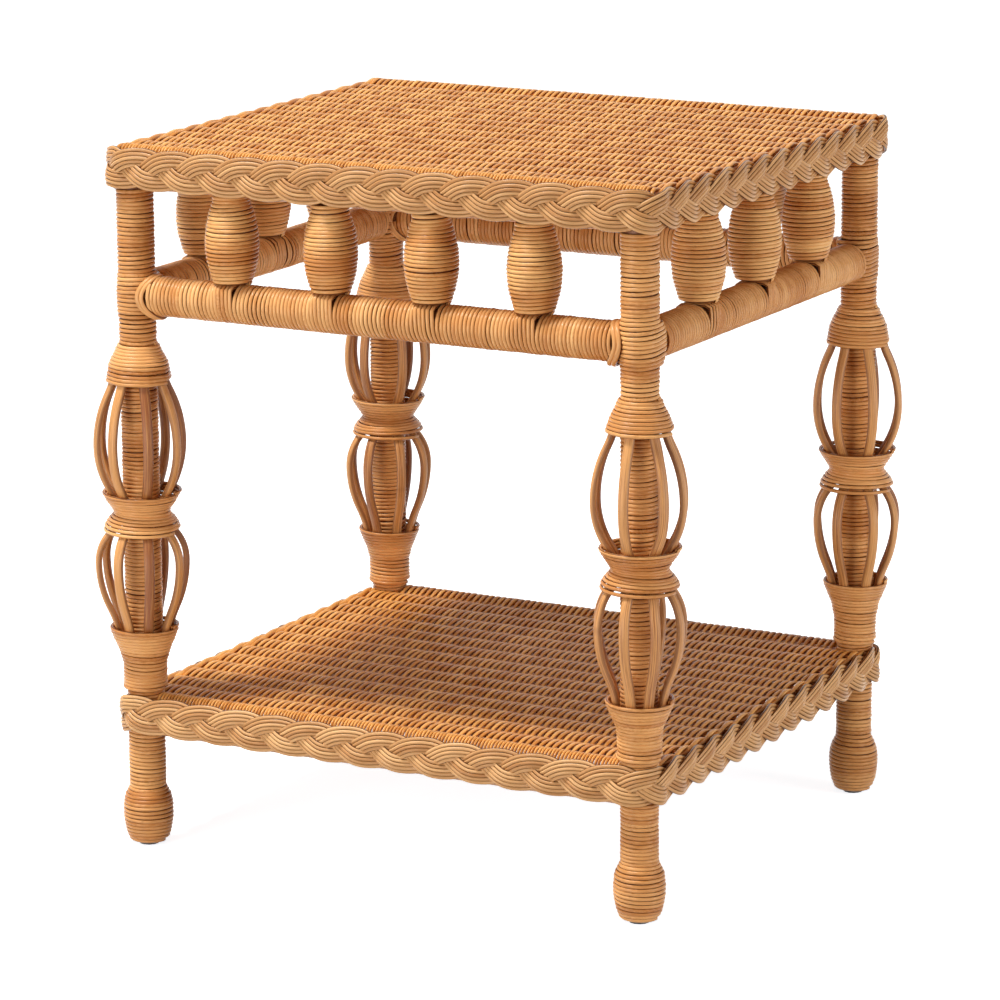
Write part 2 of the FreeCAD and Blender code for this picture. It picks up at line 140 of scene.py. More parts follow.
def coat(name, stuff):
    """Gives a CAD node that stays in sight its finish."""
    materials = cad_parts[name].data.materials
    materials.clear()
    materials.append(stuff)


pole = pole_stuff("peeled_pole", pale=(158, 94, 44), deep=(104, 56, 22))
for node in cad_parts:
    if node.startswith(("leg_pole_", "apron_rail_")):
        coat(node, pole)

# Leg windings
# Each leg is wound from shelf to top with one long peeled cane, turn against turn and
# pinned at both ends. At the apron the turns ride out over the ends of the side rails.


def node_middle(node):
    """The middle of a CAD node's box, in mm."""
    low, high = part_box(node)
    return np.round(500 * (np.array(low) + np.array(high)), 2)


LEG_X, LEG_Y = node_middle("leg_pole_rear_right")[:2]
LEGS = {"front_left": (-LEG_X, -LEG_Y), "front_right": (LEG_X, -LEG_Y),
        "rear_right": (LEG_X, LEG_Y), "rear_left": (-LEG_X, LEG_Y)}
RAIL = node_middle("apron_rail_front")[2]

# What each corner of a cane's mesh keeps for its material: the cane's tone, metres along it,
# and how far outward and aside the corner lies on the cane's section.
FIELDS = ("tone", "along", "rise", "flank")


def cane_fields(wire):
    return [wire.node("ShaderNodeAttribute", {"attribute_name": field}, output="Fac") for field in FIELDS]


def cane_stuff(name, pale, deep, speck_and_shade, dull=0.28, dark=0.22):
    """Split or round cane: each length has its own tone, with streaks, dark specks and painted shade
    at both sides. dull is its mean roughness, and dark how wide the painted shade is."""
    stuff, shader, wire = new_stuff(name)
    tone, along, rise, flank = cane_fields(wire)
    cloud = wire.vector(along * 9.0, tone * 40.0, flank * 0.6).noise(scale=1.6)
    streak = wire.vector(along * 24.0, flank * 2.6 + tone * 31.0, rise * 2.6)
    streak = streak.noise(scale=2.4, roughness=0.6)
    speck = wire.vector(along * 60.0, tone * 90.0, flank).noise(scale=1.3, detail=2.0)
    shade = tone * 0.5 + cloud * 0.55 + streak * 0.4 - 0.2
    colour = shade.between(0.12, 0.92).mix(paint(*deep), paint(*pale))
    colour = (speck.between(0.66, 0.8) * 0.4).mix(colour, paint(*speck_and_shade))
    # Painted shade: both flanks of each cane, where it lies against its neighbours, are darkened to the
    # speck colour.
    colour = (1.0 - (rise * rise).between(0.0, dark)).mix(colour, paint(*speck_and_shade))
    shader.inputs["IOR"].default_value = 1.32
    rough = cloud * 0.2 + streak * 0.12 + dull - 0.16
    finish_stuff(shader, wire, colour, rough, bump=streak, depth=0.0002)
    return stuff


def unit(lines):
    return lines / np.linalg.norm(lines, axis=1)[:, None]


def cane_mesh(name, runs, sides, square):
    """The mesh of many canes. A run is a line of points in mm, the outward direction at each,
    half the cane's width and thickness, its tone, and whether it is a closed ring. square
    under 1 makes the section fuller at its corners."""
    turn = (np.arange(sides) + 0.5 * (sides % 4 > 0)) * 2 * math.pi / sides
    up = np.sign(np.cos(turn)) * np.abs(np.cos(turn)) ** square
    over = np.sign(np.sin(turn)) * np.abs(np.sin(turn)) ** square
    beside = np.arange(sides)[None]
    beyond = (beside + 1) % sides
    corners, quads, caps, fields = [], [], [], []
    first = 0
    for points, outs, wide, thick, tone, ring in runs:
        count = len(points)
        run = np.roll(points, -1, 0) - np.roll(points, 1, 0) if ring else np.gradient(points, axis=0)
        run = unit(run)
        outs = unit(outs - run * (outs * run).sum(1)[:, None])
        aside = np.cross(run, outs)
        thick = np.broadcast_to(thick, count)[:, None] * up
        wide = np.broadcast_to(wide, count)[:, None] * over
        section = outs[:, None] * thick[..., None] + aside[:, None] * wide[..., None]
        corners.append((points[:, None] + section).reshape(-1, 3))
        steps = np.linalg.norm(np.diff(points, axis=0), axis=1)
        along = np.concatenate(([0], np.cumsum(steps))) * 0.001
        tone = np.broadcast_to(tone, count)
        fields.append(np.stack([
            np.repeat(tone, sides), np.repeat(along, sides), np.tile(up, count), np.tile(over, count)]))
        here = np.arange(count if ring else count - 1)[:, None]
        there = (here + 1) % count
        quads.append(first + np.stack([
            here * sides + beside, here * sides + beyond,
            there * sides + beyond, there * sides + beside], -1).reshape(-1, 4))
        if not ring:
            caps.append(first + np.arange(sides)[::-1])
            caps.append(first + (count - 1) * sides + np.arange(sides))
        first += count * sides
    corners = np.concatenate(corners) * 0.001
    quads = np.concatenate(quads)
    caps = np.array(caps, int).reshape(-1, sides)
    loops = np.concatenate([quads.ravel(), caps.ravel()])
    starts = np.concatenate([np.arange(len(quads)) * 4, quads.size + np.arange(len(caps)) * sides])
    mesh = bpy.data.meshes.new(name)
    mesh.vertices.add(len(corners))
    mesh.vertices.foreach_set("co", corners.ravel().astype(np.float32))
    mesh.loops.add(len(loops))
    mesh.loops.foreach_set("vertex_index", loops.astype(np.int32))
    mesh.polygons.add(len(starts))
    mesh.polygons.foreach_set("loop_start", starts.astype(np.int32))
    mesh.polygons.foreach_set("use_smooth", np.ones(len(starts), bool))
    for field, values in zip(FIELDS, np.concatenate(fields, 1)):
        kept = mesh.attributes.new(field, "FLOAT", "POINT")
        kept.data.foreach_set("value", values.astype(np.float32))
    mesh.update(calc_edges=True)
    return mesh


def canes(name, runs, stuff, nodes=(), sides=8, square=1.0):
    """One piece made of many canes, which stands for the CAD nodes that are named."""
    mesh = cane_mesh(name, runs, sides, square)
    mesh.materials.append(stuff)
    piece = bpy.data.objects.new(name, mesh)
    bpy.context.scene.collection.objects.link(piece)
    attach(piece, "root")
    if nodes:
        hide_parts(*nodes)


dice = np.random.default_rng(1907)


def tones(count, calm=0.6):
    """A tone for each turn or cane, near to its neighbours' but for a few."""
    values = dice.random(count)
    for i in range(1, count):
        values[i] = calm * values[i - 1] + (1 - calm) * values[i] if dice.random() > 0.12 else values[i]
    return np.clip((values - 0.5) * (1 + 0.5 * calm) + 0.5, 0, 1)


TURN_POINTS = 26


def winding(base, across, back, axis, outline, pitch, wide, thick, uneven=0.06, loose=0.03,
            last=0.0, tilt=0.3, push=None):
    """One cane wound round an axis over an outline of (height, radius) points in mm. across and
    back are the directions at no turn and a quarter turn. pitch is the step from turn to turn,
    uneven its spread, loose the share of turns with a gap, last a gap before the last turn, and
    tilt how far turns lie askew. push adds to the radius by height, angle and height of the turn."""
    outline = np.array(outline, float)
    span = np.concatenate(([0], np.cumsum(np.linalg.norm(np.diff(outline, axis=0), axis=1))))
    turns = max(2, round(span[-1] / pitch))
    marks = np.arange(turns + 1)
    gaps = np.clip(1 + uneven * dice.standard_normal(turns), 0.88, 1.15)
    gaps += 0.25 * (dice.random(turns) < loose)
    gaps[-1] += last
    edges = np.concatenate(([0], np.cumsum(gaps)))
    edges *= span[-1] / edges[-1]
    at = np.linspace(0, turns, turns * TURN_POINTS + 1)
    reach = np.interp(at, marks, edges)
    angle = at * 2 * math.pi
    # Two slowly changing leans, each a sum of six draws, which 0.41 brings back to the spread of one.
    leans = [np.convolve(dice.standard_normal(turns + 6), np.ones(6), "valid") for _ in range(2)]
    leans = [np.interp(at, marks, lean) for lean in leans]
    askew = 0.41 * tilt * (np.cos(angle) * leans[0] + np.sin(angle) * leans[1])
    reach = np.clip(reach + askew * np.clip(np.minimum(at, turns - at) / 2, 0, 1), 0, span[-1])
    height = np.interp(reach, span, outline[:, 0])
    radius = np.interp(reach, span, outline[:, 1])
    level = np.interp(np.minimum(np.floor(at), turns - 1) + 0.5, marks, edges)
    level = np.interp(level, span, outline[:, 0])
    slope = np.gradient(outline, span, axis=0)
    tip = np.interp(reach, span, -slope[:, 1] * np.sign(slope[:, 0]))
    radius = radius + 0.12 * np.interp(at, marks, dice.standard_normal(turns + 1))
    if push is not None:
        radius = radius + push(height, angle, level)
    across, back, axis = [np.array(v, float) for v in (across, back, axis)]
    outs = np.cos(angle)[:, None] * across + np.sin(angle)[:, None] * back
    points = np.array(base, float) + outs * radius[:, None] + height[:, None] * axis
    outs = outs * np.sqrt(1 - np.clip(tip, -0.95, 0.95) ** 2)[:, None] + tip[:, None] * axis
    tone = np.interp(at, marks, tones(turns + 1))
    return points, outs, wide, thick, tone, False


def upright(x, y):
    """Base and directions of an upright winding."""
    return (x, y, 0), (1, 0, 0), (0, 1, 0), (0, 0, 1)


LEG_WOUND = 13.35
LEG_FROM, LEG_TO = 113, 525


def over_rail_end(inward):
    """The turns ride out over the end of the side rail, which comes from the direction inward."""
    half_height, swell, nose = 17.5, 1.3, 5.6

    def push(height, angle, level):
        bulge = np.sqrt(np.clip(1 - ((height - RAIL) / half_height) ** 2, 0, 1))
        snug = LEG_WOUND + swell * bulge
        ahead = np.cos(angle - inward)
        aside = np.sin(angle - inward)
        bend = 2 + 2 * bulge
        over = (np.abs(ahead) / (snug + nose * bulge)) ** bend + (np.abs(aside) / snug) ** bend
        return np.where(ahead > 0, over ** (-1 / bend), snug) - LEG_WOUND

    return push


binding = cane_stuff("binding_cane", pale=(245, 186, 119), deep=(188, 116, 52), speck_and_shade=(100, 48, 12))
for name, (x, y) in LEGS.items():
    wound = winding(*upright(x, y), [(LEG_FROM, LEG_WOUND), (LEG_TO, LEG_WOUND)], pitch=3.28,
                    wide=1.68, thick=1.45, push=over_rail_end(math.atan2(-y, 0)))
    canes("leg_winding_" + name, [wound], binding, ["leg_wrap_" + name])

# Cage ribs
# Eight peeled rattan rods round each leg, steamed and bent to belly out twice with a waist
# between. Their thinned tips lie on the wound leg under the bindings.

# Hand work: the heights of waists, bells and cups differ from leg to leg.
WAIST = {"front_left": 270.5, "front_right": 273.5, "rear_right": 271.5, "rear_left": 272.5}
RIBS = 8
RIB_FOOT, RIB_TIP = [round(1000 * corner[2], 2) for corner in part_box("cage_ribs")]
UPPER_BELLY, UPPER_OUT = 324.2, 17.0
LOWER_BELLY, LOWER_OUT = 230.3, 16.8
TIP_BEND, WAIST_BEND, FOOT_BEND = 70.0, 22.0, 90.0
RIB_WIDE, RIB_THICK = 4.0, 2.6
LEG_FACE = 15


def sway(start, end, first):
    """Height and distance out along a double bend. first is the radius of its first bend or,
    with a minus sign, of its second."""
    fall = start[0] - end[0]
    out = end[1] - start[1]
    both = (fall ** 2 + out ** 2) / (2 * abs(out))
    first = first if first > 0 else both + first
    turn = np.linspace(0, 2 * math.atan2(abs(out), fall), 11)
    way = math.copysign(1, out)
    near = np.stack([start[0] - first * np.sin(turn), start[1] + way * first * (1 - np.cos(turn))], 1)
    far = both - first
    turn = turn[::-1]
    rest = np.stack([end[0] + far * np.sin(turn), end[1] - way * far * (1 - np.cos(turn))], 1)
    return np.concatenate([near, rest[1:]])


def bent_rib(waist):
    """Height, distance out and share of full thickness from the rib's top tip to its foot."""
    marks = [(RIB_TIP, 0.0), (UPPER_BELLY, UPPER_OUT), (waist, 0.0), (LOWER_BELLY, LOWER_OUT),
             (RIB_FOOT, 0.0)]
    bends = (TIP_BEND, -WAIST_BEND, WAIST_BEND, -FOOT_BEND)
    line = [np.array(marks[:1])]
    for start, end, first in zip(marks, marks[1:], bends):
        line.append(sway(start, end, first)[1:])
    line = np.concatenate(line)
    tip = np.minimum(line[0, 0] - line[:, 0], line[:, 0] - line[-1, 0])
    return line, np.clip(0.14 + tip / 15, 0.14, 1)


def rib_stuff():
    """Peeled rod: long pale and dark fibres, a few knots across, painted shade along both edges and a dull
    satin.
    """
    stuff, shader, wire = new_stuff("bent_rib")
    tone, along, rise, flank = cane_fields(wire)
    fibre = wire.vector(along * 7.0, flank * 2.2 + tone * 50.0, rise * 2.2)
    fibre = fibre.noise(scale=3.0, detail=4.0, roughness=0.65)
    cloud = wire.vector(along * 22.0, tone * 70.0, flank).noise(scale=1.2)
    knot = wire.vector(along * 30.0, tone * 55.0).noise(scale=1.0, detail=1.0)
    shade = fibre * 1.2 + cloud * 0.4 + tone * 0.35 - 0.5
    colour = shade.between(0.2, 0.75).mix(paint(140, 78, 32), paint(226, 164, 98))
    # Painted shade: both edges of each rod are darkened towards a deep brown.
    colour = (0.6 - 0.6 * (rise * rise).between(0.0, 0.5)).mix(colour, paint(118, 64, 26))
    colour = (knot.between(0.68, 0.76) * 0.5).mix(colour, paint(124, 70, 30))
    finish_stuff(shader, wire, colour, rough=fibre * 0.2 + 0.34, bump=fibre, depth=0.0006)
    return stuff


runs = []
for name, (x, y) in LEGS.items():
    line, share = bent_rib(WAIST[name])
    # Degrees by which each rib is off its even place, above and below the waist.
    upper = 3.0 * dice.standard_normal(RIBS)
    lower = 3.0 * dice.standard_normal(RIBS)
    if name == "front_right":
        near_ribs = [0, 7, 6, 5]
        upper[near_ribs] = (6, 13, 6, -13)
        lower[near_ribs] = (-1, 2, 7, 7)
    above = np.clip((line[:, 0] - WAIST[name]) / 60 + 0.5, 0, 1)
    for i in range(RIBS):
        way = np.radians(360 / RIBS * i + lower[i] + (upper[i] - lower[i]) * above)
        out = np.stack([np.cos(way), np.sin(way), 0 * way], 1)
        thick = RIB_THICK * share
        reach = LEG_FACE + thick + line[:, 1] * (1 + 0.02 * dice.standard_normal())
        points = np.array([x, y, 0]) + out * reach[:, None] + line[:, :1] * np.array([0, 0, 1])
        runs.append((points, out, RIB_WIDE * (0.4 + 0.6 * share), thick, dice.random(), False))
canes("cage_rods", runs, rib_stuff(), ["cage_ribs"], sides=12, square=0.8)

# Bindings of the cages
# Peeled cane wound over the ribs: a bell over their upper tips, a double flare that draws
# them in at the waist, and a cup over their feet that runs on down to the shelf.

# Heights of top and rim of each bell, then height and radius of the rim of each cup.
BELL = {"front_left": (401.5, 374.5), "front_right": (399.5, 377.5),
        "rear_right": (402, 375), "rear_left": (400, 376)}
CUP = {"front_left": (178.7, 26.2), "front_right": (173.5, 25.0),
       "rear_right": (179, 25.2), "rear_left": (176, 24.9)}


def bell_outline(top, rim):
    return [(top + 2.4, 14.2), (top, 16.0), (top - 3.5, 17.2), (top - 8, 19.7), (top - 13, 22.4),
            (rim + 3.5, 24.6), (rim, 25.4)]


def waist_outline(waist):
    upper = [(16.5, 30.5), (12, 28.0), (8, 25.4), (4, 22.7), (0, 20.6)]
    lower = [(-3, 22.4), (-6, 25.2), (-9, 27.4), (-12, 28.7), (-15.5, 29.0)]
    return [(waist + rise, radius) for rise, radius in upper + lower]


def cup_outline(rim, radius):
    flare = [(rim, radius), (rim - 4, radius - 0.7), (rim - 10, radius - 3.2), (rim - 18, radius - 6.6)]
    return flare + [(151, 16.6), (146, 15.9), (133, 15.9), (128.4, 16.6)]


def flat_between_ribs(height, angle, level):
    """Where the turns of the bell lie on the ribs, they run nearly straight from rib to rib."""
    half = math.pi / RIBS
    off = np.mod(angle, 2 * half) - half
    straight = math.cos(half) / np.cos(off) - 1
    radius, share = 24, 0.6
    free, on_ribs = 394, 380
    return share * radius * straight * np.clip((height - free) / (on_ribs - free), 0, 1)


bells, waists, cups = [], [], []
for name, (x, y) in LEGS.items():
    bells.append(winding(*upright(x, y), bell_outline(*BELL[name]), pitch=3.0, wide=1.55, thick=1.45,
                         push=flat_between_ribs))
    waists.append(winding(*upright(x, y), waist_outline(WAIST[name]), pitch=2.85, wide=1.47, thick=1.35,
                          uneven=0.07, last=0.35, tilt=0.7))
    cups.append(winding(*upright(x, y), cup_outline(*CUP[name]), pitch=2.95, wide=1.58, thick=1.45,
                        uneven=0.07, loose=0.05, tilt=0.35))
canes("bell_coils", bells, binding, ["bell_bindings"])
canes("waist_coils", waists, binding, ["waist_bindings"])
canes("cup_coils", cups, binding, ["cup_bindings"])

# Feet
# Below the shelf the pole is padded and wound with the same cane to an egg-shaped foot.
# A round plastic glide is nailed under each.

SHANK = [(99, 13.4), (48, 13.4)]
EGG = [(45, 14.6), (41, 16.8), (36, 18.2), (30, 18.7), (24, 18.7), (17, 18.0), (10, 16.4), (6, 14.9),
       (4.4, 14.0)]
runs = []
for x, y in LEGS.values():
    runs.append(winding(*upright(x, y), SHANK + EGG, pitch=3.15, wide=1.62, thick=1.4, uneven=0.05))
canes("foot_coils", runs, binding, ["foot_bulbs"])

PADDING_UNDER = 0.7
padding = pole_stuff("padding", pale=(140, 82, 38), deep=(96, 52, 22))


def core(name, spots, outline):
    """The padding under upright windings, turned to a little less than their outline."""
    height, radius = np.array(outline, float).T
    radius = radius - PADDING_UNDER
    outs = np.tile([1.0, 0, 0], (len(height), 1))
    runs = []
    for x, y in spots:
        points = np.column_stack([np.full_like(height, x), np.full_like(height, y), height])
        runs.append((points, outs, radius, radius, 0.5, False))
    canes(name, runs, padding, sides=24)


core("foot_padding", LEGS.values(), SHANK[1:] + EGG)

glide_stuff, shader, wire = new_stuff("glide_plastic")
where = wire.node("ShaderNodeTexCoord", output="Object")
grit = where.noise(scale=1400.0, detail=2.0)
worn = where.noise(scale=210.0, detail=2.0)
colour = (worn * 0.6 + grit * 0.4).between(0.3, 0.7).mix(paint(52, 50, 50), paint(86, 84, 83))
finish_stuff(shader, wire, colour, rough=grit * 0.25 + 0.4, bump=grit, depth=0.0002)
coat("foot_glides", glide_stuff)

# Apron rails
# A pole between each two legs, wound with cane from end to end. Under each spindle a few
# turns run straight up both sides to the spindle's foot, and two stout turns close the ends
# of the front and rear rails against the legs.

RAIL_WOUND = 14.2
UPWARD = np.array([0.0, 0, 1])


def rail_side(x, y, run, inward, from_leg, spindles):
    """One side of the table: the middle of its rail, the directions along it and to the inside,
    where its winding ends and where its spindles stand along it. Front and rear are long sides."""
    half = LEG_X if run[0] else LEG_Y
    stands = [half * (2 * k / (spindles + 1) - 1) for k in range(1, spindles + 1)]
    return SimpleNamespace(middle=np.array([x, y, RAIL]), run=np.array(run, float), long=run[0] != 0,
                           inward=np.array(inward, float), end=half - from_leg, stands=stands)


SIDES = {"front": rail_side(0, -LEG_Y, (1, 0, 0), (0, 1, 0), from_leg=16.8, spindles=4),
         "right": rail_side(LEG_X, 0, (0, 1, 0), (-1, 0, 0), from_leg=18.5, spindles=3),
         "rear": rail_side(0, LEG_Y, (-1, 0, 0), (0, -1, 0), from_leg=16.8, spindles=4),
         "left": rail_side(-LEG_X, 0, (0, -1, 0), (1, 0, 0), from_leg=18.5, spindles=3)}


def up_to_spindles(side):
    """Turns close to a spindle are drawn up to a square shape over the rail, less so on the inside."""
    before, passage, after = 13, 7, 8
    least, inside_less = 0.77, 7

    def push(height, angle, level):
        upper = np.clip(np.sin(angle), 0, 1)
        square = 1 / np.maximum(np.maximum(np.abs(np.cos(angle)), upper), least) - 1
        held = 0
        for stand in side.stands:
            past = level - stand if side.long else stand - level
            held = held + np.clip((past + before) / passage, 0, 1) * (past < after)
        inside = np.clip(np.cos(angle) * 1.4, 0, 1)
        return held * square * (RAIL_WOUND - inside_less * inside) * (upper > 0)

    return push


def end_turns(side):
    """Two stout turns at each end of a long rail. They lie against the leg above and below the
    rail, and bend a little way round it at the rail's sides."""
    against_leg, round_leg, lean, step = 18.2, 8.5, 1.6, 3.7
    radius, taller, smaller, sag = 14.9, 1.4, 0.3, 0.9
    wide, thick = 2.1, 1.7
    angle = np.linspace(0, 2 * math.pi, 48, endpoint=False)
    outs = np.cos(angle)[:, None] * side.inward + np.sin(angle)[:, None] * UPWARD
    runs = []
    for way in (-1, 1):
        for i in range(2):
            from_leg = against_leg - round_leg * np.cos(angle) ** 2 + step * i - lean * np.sin(angle)
            reach = radius + taller * np.sin(angle) ** 2 - smaller * i
            points = side.middle + outs * reach[:, None] + (way * (LEG_X - from_leg))[:, None] * side.run
            points[:, 2] -= sag
            runs.append((points, outs, wide, thick, 0.4 + 0.4 * dice.random(), True))
    return runs


rail_cane = cane_stuff("rail_cane", pale=(251, 197, 132), deep=(202, 130, 64), speck_and_shade=(106, 52, 14))
for name, side in SIDES.items():
    outline = [(-side.end, RAIL_WOUND), (side.end, RAIL_WOUND)]
    runs = [winding(side.middle, side.inward, UPWARD, side.run, outline, pitch=3.42 if side.long else 3.8,
                    wide=1.76, thick=1.4, push=up_to_spindles(side))]
    if side.long:
        runs += end_turns(side)
    canes("rail_winding_" + name, runs, rail_cane, ["apron_wrap_" + name])

# Apron spindles
# Short barrel spindles between rail and top, each a dowel padded in the middle and wound
# level with cane.

BARREL_FOOT, BARREL_HIGH = 458.8, 62.2
BARREL_NECK, BARREL_SWELL = 13.6, 6.1
SPINDLE_TOP = 526.0
barrel = [(BARREL_FOOT + BARREL_HIGH * share, BARREL_NECK + BARREL_SWELL * math.sin(math.pi * share) ** 0.9)
          for share in np.linspace(0, 1, 15)]
barrel += [(SPINDLE_TOP, BARREL_NECK)]
spots = []
for side in SIDES.values():
    spots += [(side.middle + side.run * stand)[:2] for stand in side.stands]
# Painted light: the spindles' cane is a paler copy of the rail cane, to make up for the top's shadow on the
# spindles.
lit_spindle_cane = cane_stuff("lit_spindle_cane", pale=(254, 202, 133), deep=(213, 140, 73), speck_and_shade=(114, 58, 18))
runs = [winding(*upright(x, y), barrel, pitch=3.1, wide=1.57, thick=1.4, uneven=0.05) for x, y in spots]
canes("spindle_coils", runs, lit_spindle_cane, ["apron_spindles"])
core("spindle_padding", spots, barrel)

# Frames of top and shelf
# Round rattan poles between the legs, under the edges of each woven panel, with the faint
# rings of the cane's joints.

FRAMES = {label: node_middle(label + "_front")[2] for label in ("top_frame", "shelf_frame")}
FRAME_RADIUS = 12.0
LONG_HALF, SHORT_HALF = 205.5, 181.0
RING_STEP, RING_HIGH = 150, 0.25
bars = cane_stuff("frame_pole", pale=(226, 164, 104), deep=(170, 108, 56), speck_and_shade=(140, 86, 42),
                  dull=0.42, dark=0.02)
for label, height in FRAMES.items():
    runs = []
    for side in SIDES.values():
        reach = np.linspace(-1, 1, 41) * (LONG_HALF if side.long else SHORT_HALF)
        from_ring = np.mod(reach + 60 * dice.random(), RING_STEP) - RING_STEP / 2
        swell = FRAME_RADIUS + RING_HIGH * np.exp(-from_ring ** 2 / 18)
        points = np.array([*side.middle[:2], height]) + reach[:, None] * side.run
        outs = np.tile(UPWARD, (len(points), 1))
        runs.append((points, outs, swell, swell, 0.3 + 0.5 * dice.random(), False))
    canes(label + "_poles", runs, bars, [label + "_" + name for name in SIDES], sides=24)

# Woven top and shelf
# Fourteen stout stakes lie from side to side. Thin round canes are woven through them from
# front to back, over one and under the next, and bent down over the frame at both ends. In
# front all canes rise over the frame side by side; at each side the outer two are twisted.

STAKES = 14
STAKE_WIDE, STAKE_THICK = 3.0, 1.05
ROW = 26.0
LAST_ROW = STAKES / 2 * ROW
FRONT_LEVEL, REAR_LEVEL = -192.5, 195
STROKE, FRONT_HIGH, REAR_HIGH = 2.5, 3.6, 1.6
BENT_DOWN = -20
CANE_WIDE, CANE_THICK = 1.5, 1.48
CLOSED_WIDE = 3.3
PAIR_SHORT, LEFT_DEEP = 5, 1.7
LEG_HOLE = 13.6
TOP = node_middle("top_panel")[2]
SHELF = node_middle("shelf_panel")[2]
OVER_FRAME = TOP - FRAMES["top_frame"]
woven = cane_stuff("woven_cane", pale=(252, 188, 106), deep=(206, 130, 50), speck_and_shade=(136, 68, 18), dark=0.05)
stake = cane_stuff("stake_cane", pale=(222, 158, 96), deep=(166, 104, 52), speck_and_shade=(120, 66, 26))


def front_rise(y, pair):
    """How far a cane has risen on to the front frame, from 0 to 1. The outer pairs don't rise."""
    return (1 - pair) * np.clip((-LAST_ROW - y) / 9, 0, 1)


def strokes(way, pair):
    """A cane from frame to frame, as places along it and heights: strokes over and under the
    stakes, then a rise on to the front frame, and on to the rear one where it ends above."""
    y = np.concatenate([np.linspace(FRONT_LEVEL, -LAST_ROW, 6), np.linspace(5 - LAST_ROW, REAR_LEVEL, 73)])
    stroke = way * np.sin(math.pi * y / ROW)
    rise = front_rise(y, pair)
    z = STROKE * stroke * (rise == 0) + FRONT_HIGH * rise ** 2 * (3 - 2 * rise)
    return y, z + REAR_HIGH * np.clip((y - LAST_ROW) / 12, 0, 1) * (stroke > 0)


def bend_down(y, z, edge):
    """Adds both ends: in front they follow the frame pole, behind they bend straight down."""
    bend = np.linspace(0, math.pi / 2, 6)[1:]
    hug = np.radians([90, 60, 35])
    front_y = [[-edge], -LEG_Y - (edge - LEG_Y) * np.sin(hug), FRONT_LEVEL - 6.5 * np.sin(bend[::-1])]
    front_z = [[BENT_DOWN], (edge - LEG_Y) * np.cos(hug) - OVER_FRAME, (3 + z[0]) * np.cos(bend[::-1]) - 3]
    rear_y = [REAR_LEVEL + (edge - REAR_LEVEL) * np.sin(bend), [edge]]
    rear_z = [(9 + z[-1]) * np.cos(bend) - 9, [BENT_DOWN]]
    return np.concatenate([*front_y, y, *rear_y]), np.concatenate([*front_z, z, *rear_z])


def weave(middle, half_x, count, edge, legs):
    """Runs of the woven canes. edge is how far their bent ends reach, and legs says that the
    legs pass through the panel, where the canes end against them. The outer pairs are shorter,
    to stay inside the plait's round corners, and the left one goes deeper, down to the plait."""
    runs = []
    tone = tones(count, calm=0.3)
    space = half_x / (count - 1)
    for i, x in enumerate(np.linspace(-half_x, half_x, count)):
        way = 1 if i % 2 else -1
        left_pair = i < 2
        right_pair = i > count - 3
        pair = left_pair or right_pair
        y, z = strokes(way, pair)
        leg_half = LEG_HOLE ** 2 - (abs(x) - LEG_X) ** 2
        if legs and leg_half > 0:
            inside = np.abs(y) < LEG_Y - math.sqrt(leg_half)
            y, z = y[inside], z[inside]
        else:
            y, z = bend_down(y, z, edge - PAIR_SHORT * pair)
        bow = 0.07 * dice.standard_normal() + 0.06 * np.sin(y / 31 + 6.3 * dice.random())
        deep = 0
        if pair:
            halfway = math.copysign(half_x - space, x)
            bow = halfway - x + space * way * np.cos(math.pi * y / ROW)
        if left_pair:
            deep = LEFT_DEEP
            z = 0.4 * z + 2.2 - deep
        if right_pair:
            z = 0.8 * z + 0.9
        points = np.stack([x + bow, y, middle + z + 0.1 * dice.standard_normal()], 1)
        outs = np.stack([0 * y, np.sign(y) * np.clip(np.abs(y) - REAR_LEVEL, 0, 12) / 8, 1 + 0 * y], 1)
        stroke = way * np.sin(math.pi * np.clip(y, -LAST_ROW, REAR_LEVEL) / ROW)
        rise = front_rise(y, pair)
        wide = CANE_WIDE + 0.6 * np.abs(stroke) - 0.4 * rise
        wide[(y > LAST_ROW - 0.5) & (stroke < 0)] = CLOSED_WIDE
        thick = CANE_THICK + 0.27 * rise + 0.2 * pair + deep
        mottle = dice.standard_normal(18)[np.floor(y / ROW).astype(int) + 9]
        # Painted light: the canes are painted paler where they rise on to the front frame; mottle gives
        # each row its own tone.
        shade = np.clip(tone[i] + 0.35 * rise + 0.2 * mottle, 0, 1)
        runs.append((points, outs, wide + 0.4 * pair, thick, shade, False))
    return runs


def stakes(middle, half_x):
    """Runs of the stakes, with both ends bent down."""
    radius = 5
    bend = np.linspace(0, math.pi / 2, 6)[1:]
    level = half_x - radius
    drop = radius * np.cos(bend) - radius
    x = np.concatenate([-level - radius * np.sin(bend[::-1]), np.linspace(-level, level, 60),
                        level + radius * np.sin(bend)])
    fall = np.concatenate([drop[::-1], np.zeros(60), drop])
    runs = []
    for i in range(STAKES):
        z = middle + fall + 0.2 * np.sin(x / 17 + 6.3 * dice.random())
        points = np.stack([x, np.full_like(x, ROW * (i - (STAKES - 1) / 2)), z], 1)
        outs = np.stack([np.sign(x) * np.clip(np.abs(x) - level, 0, radius), 0 * x, 3 + 0 * x], 1)
        runs.append((points, outs, STAKE_WIDE, STAKE_THICK, dice.random(), False))
    return runs


top_runs = weave(TOP, half_x=230.8, count=169, edge=207.2, legs=False)
canes("top_weave", top_runs, woven, ["top_panel"], sides=6)
canes("top_stake_canes", stakes(TOP, half_x=231.5), stake, ["top_stakes"])
shelf_runs = weave(SHELF, half_x=229.0, count=161, edge=206.6, legs=True)
canes("shelf_weave", shelf_runs, woven, ["shelf_panel"], sides=6)
canes("shelf_stake_canes", stakes(SHELF, half_x=229.5), stake, ["shelf_stakes"])

# Plaits round top and shelf
# A flat plait of three strands, each of five round canes side by side, nailed on edge
# round both panels to hide the ends of the weave.

